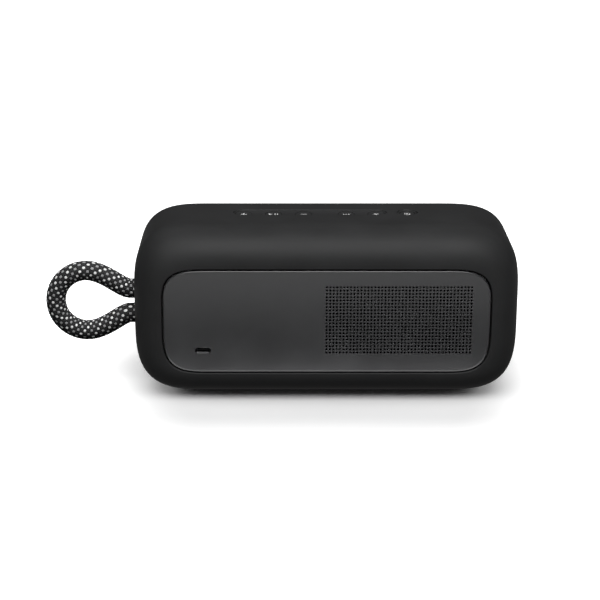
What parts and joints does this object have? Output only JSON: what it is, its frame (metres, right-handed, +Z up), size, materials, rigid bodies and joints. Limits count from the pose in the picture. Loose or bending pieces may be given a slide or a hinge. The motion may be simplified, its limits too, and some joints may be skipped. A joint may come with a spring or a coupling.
{
  "type": "portable speaker",
  "caption": "Water-resistant portable speaker with a silicone skin, perforated grille, top keys, charging port and a braided carry loop.",
  "frame": {"origin": "on the surface that the feet rest on, under the middle of the case, not counting the carry loop", "axes": "+X towards the end with the carry loop, -Y is where the grille faces and +Y where the rear panel faces, +Z up"},
  "size_m": [0.2823, 0.086, 0.1024],
  "materials": {
    "skin": "matt moulded silicone with a very fine grain",
    "feet": "matt rubber",
    "case": "plain moulded",
    "grille": "matt powder coat on perforated steel",
    "cloth": "acoustic cloth",
    "rear_panel": "fine spark-eroded texture with a smooth bevel",
    "port_metal": "nickel plated",
    "seal": "soft moulded rubber",
    "circuit_board": "solder mask over glass-fibre board",
    "keys": "matt silicone with pale printed symbols",
    "cone": "pressed paper pulp cone",
    "magnet": "ferrite magnet between steel plates",
    "steel": "zinc plated",
    "battery_wrap": "two steel cells in a shrink wrap; aluminium stands for their mean density",
    "rope": "braided cover in black and grey with reflective flecks"
  },
  "bodies": {
    "case": {"skin_sleeve": "skin", "foot_left": "feet", "foot_right": "feet", "front_case": "case", "rear_case": "case", "grille_frame": "case", "battery_cradle": "case", "woofer_frame": "case", "tweeter_housing": "case", "front_radiator_frame": "case", "rear_radiator_frame": "case", "usb_c_tongue": "case", "front_grille": "grille", "grille_cloth": "cloth", "rear_cloth": "cloth", "rear_panel": "rear_panel", "usb_c_shell": "port_metal", "port_seal": "seal", "woofer_surround": "seal", "front_radiator_surround": "seal", "rear_radiator_surround": "seal", "port_board": "circuit_board", "button_board": "circuit_board", "main_board": "circuit_board", "antenna_board": "circuit_board", "button_strip": "keys", "power_button_ring": "keys", "woofer_magnet": "magnet", "rope_crimp_upper": "steel", "rope_crimp_lower": "steel", "woofer_screw_1": "steel", "woofer_screw_2": "steel", "woofer_screw_3": "steel", "woofer_screw_4": "steel", "case_screw_1": "steel", "case_screw_2": "steel", "case_screw_3": "steel", "case_screw_4": "steel", "battery_pack": "battery_wrap", "rope_end_upper": "rope", "rope_end_lower": "rope"},
    "volume_up_button": {"volume_up_button": "keys"},
    "play_pause_button": {"play_pause_button": "keys"},
    "volume_down_button": {"volume_down_button": "keys"},
    "shortcut_button": {"shortcut_button": "keys"},
    "pairing_button": {"pairing_button": "keys"},
    "power_button": {"power_button": "keys"},
    "woofer_cone": {"woofer_cone": "cone"},
    "tweeter_dome": {"tweeter_dome": "cloth"},
    "front_radiator_weight": {"front_radiator_weight": "steel"},
    "rear_radiator_weight": {"rear_radiator_weight": "steel"},
    "carry_loop": {"carry_loop": "rope"}
  },
  "joints": [
    {"name": "volume_up_button_press", "type": "slide", "parent": "case", "child": "volume_up_button", "axis": [0, 0, -1], "range_m": [0, 0.0006], "stiffness_N_per_m": 900},
    {"name": "play_pause_button_press", "type": "slide", "parent": "case", "child": "play_pause_button", "axis": [0, 0, -1], "range_m": [0, 0.0006], "stiffness_N_per_m": 900},
    {"name": "volume_down_button_press", "type": "slide", "parent": "case", "child": "volume_down_button", "axis": [0, 0, -1], "range_m": [0, 0.0006], "stiffness_N_per_m": 900},
    {"name": "shortcut_button_press", "type": "slide", "parent": "case", "child": "shortcut_button", "axis": [0, 0, -1], "range_m": [0, 0.0006], "stiffness_N_per_m": 900},
    {"name": "pairing_button_press", "type": "slide", "parent": "case", "child": "pairing_button", "axis": [0, 0, -1], "range_m": [0, 0.0006], "stiffness_N_per_m": 900},
    {"name": "power_button_press", "type": "slide", "parent": "case", "child": "power_button", "axis": [0, 0, -1], "range_m": [0, 0.0006], "stiffness_N_per_m": 900},
    {"name": "woofer_cone_stroke", "type": "slide", "parent": "case", "child": "woofer_cone", "axis": [0, -1, 0], "range_m": [-0.004, 0.004], "stiffness_N_per_m": 2500},
    {"name": "tweeter_dome_stroke", "type": "slide", "parent": "case", "child": "tweeter_dome", "axis": [0, -1, 0], "range_m": [-0.0003, 0.0003], "stiffness_N_per_m": 900},
    {"name": "front_radiator_stroke", "type": "slide", "parent": "case", "child": "front_radiator_weight", "axis": [0, -1, 0], "range_m": [-0.005, 0.005], "stiffness_N_per_m": 1800},
    {"name": "rear_radiator_stroke", "type": "slide", "parent": "case", "child": "rear_radiator_weight", "axis": [0, 1, 0], "range_m": [-0.002, 0.002], "stiffness_N_per_m": 1800},
    {"name": "carry_loop_swing", "type": "hinge", "parent": "case", "child": "carry_loop", "pos_m": [0.1186, 0, 0.0486], "axis": [0, 0, 1], "range_deg": [-60, 60], "stiffness_Nm_per_rad": 0.05}
  ]
}
